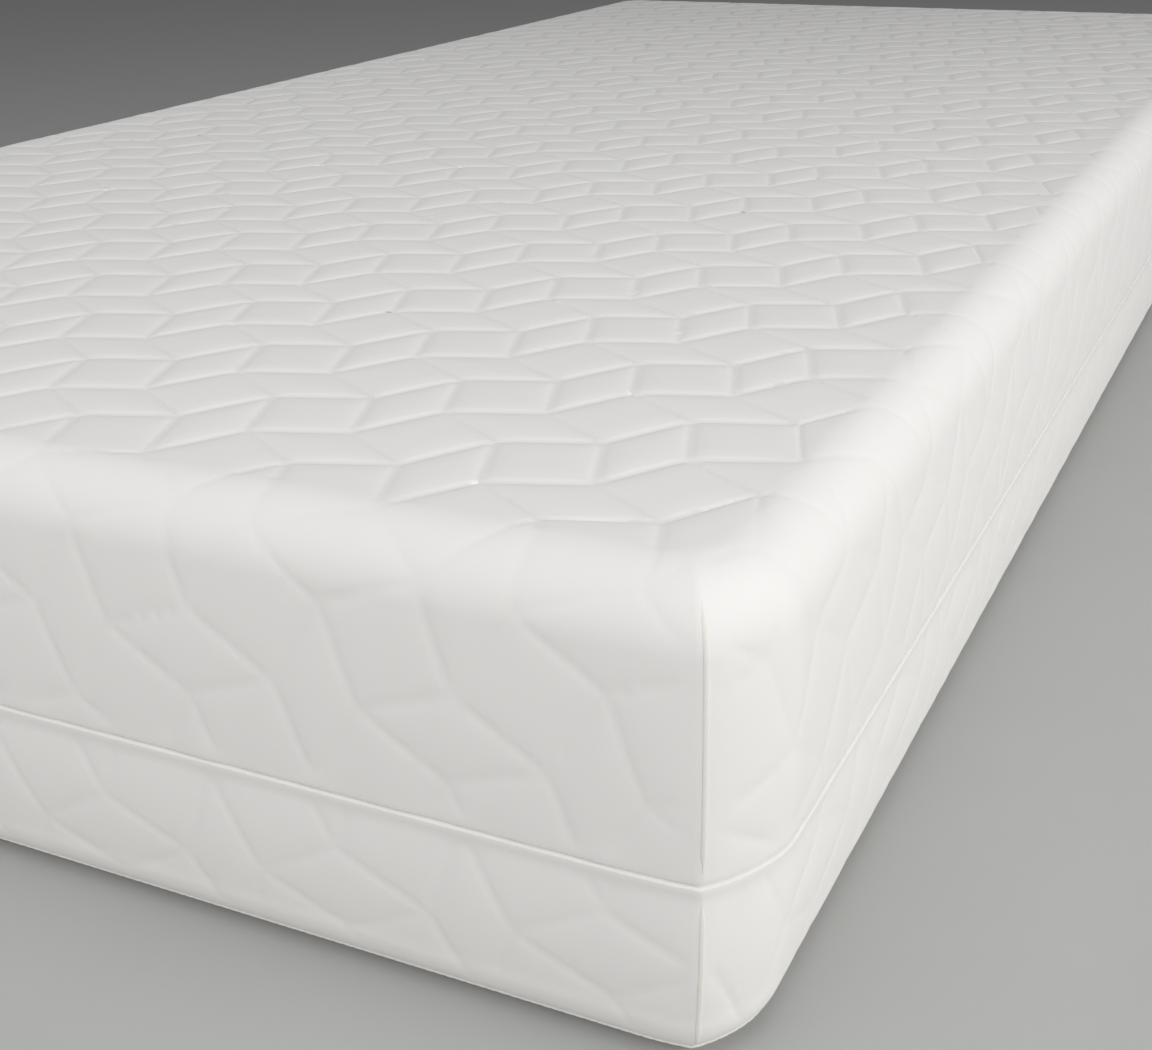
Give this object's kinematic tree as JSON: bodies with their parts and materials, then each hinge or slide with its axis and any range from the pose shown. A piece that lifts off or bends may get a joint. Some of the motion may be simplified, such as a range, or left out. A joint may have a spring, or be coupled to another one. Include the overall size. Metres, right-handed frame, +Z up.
{
  "type": "pressure relief mattress",
  "caption": "Rectangular foam mattress with a quilted off-white knit cover in two parts, joined by a zip all round its sides.",
  "frame": {"origin": "centre of the underside", "axes": "+Z up, +Y along the length towards the head end, +X to the right seen from the foot end"},
  "size_m": [0.9, 1.9, 0.21],
  "materials": {
    "quilted_knit": "off-white quilted jacquard knit, matt",
    "sewn_trim": "off-white sewn seam, matt",
    "zip_tape": "woven polyester tape, matt",
    "zip_coil": "moulded nylon coil, satin",
    "zip_metal": "nickel-plated die casting, satin",
    "barrier_knit": "fine ribbed knit, matt",
    "memory_foam": "open-cell viscoelastic foam, matt",
    "core_foam": "open-cell resilient foam, matt",
    "firm_foam": "open-cell firm foam, matt",
    "label_satin": "blank satin label"
  },
  "bodies": {
    "base": {"base_cover": "quilted_knit", "corner_seam_lower_foot_right": "sewn_trim", "corner_seam_lower_foot_left": "sewn_trim", "corner_seam_lower_head_right": "sewn_trim", "corner_seam_lower_head_left": "sewn_trim", "base_edge_seam": "sewn_trim", "zip_tape_lower": "zip_tape", "zip_coil_lower": "zip_coil", "zip_stop_lower": "zip_metal", "fire_barrier_sleeve": "barrier_knit", "topper_foam": "memory_foam", "core_foam": "core_foam", "side_bolster_right": "firm_foam", "side_bolster_left": "firm_foam", "base_foam": "firm_foam", "care_label": "label_satin"},
    "upper_cover": {"top_cover": "quilted_knit", "zip_tape_upper": "zip_tape", "zip_coil_upper": "zip_coil", "zip_stop_upper": "zip_metal", "corner_seam_upper_foot_right": "sewn_trim", "corner_seam_upper_foot_left": "sewn_trim", "corner_seam_upper_head_right": "sewn_trim", "corner_seam_upper_head_left": "sewn_trim"},
    "slider": {"zip_slider": "zip_metal"},
    "pull_tab": {"zip_pull_tab": "zip_metal"}
  },
  "joints": [
    {"name": "top_cover_lift", "type": "slide", "parent": "base", "child": "upper_cover", "axis": [0, 0, 1], "range_m": [0, 0.25]},
    {"name": "zip_travel", "type": "slide", "parent": "base", "child": "slider", "axis": [0, -1, 0], "range_m": [0, 1.7]},
    {"name": "pull_tab_swing", "type": "hinge", "parent": "slider", "child": "pull_tab", "pos_m": [-0.4484, 0.85, 0.09], "axis": [0, 0, -1], "range_deg": [0, 170]}
  ]
}
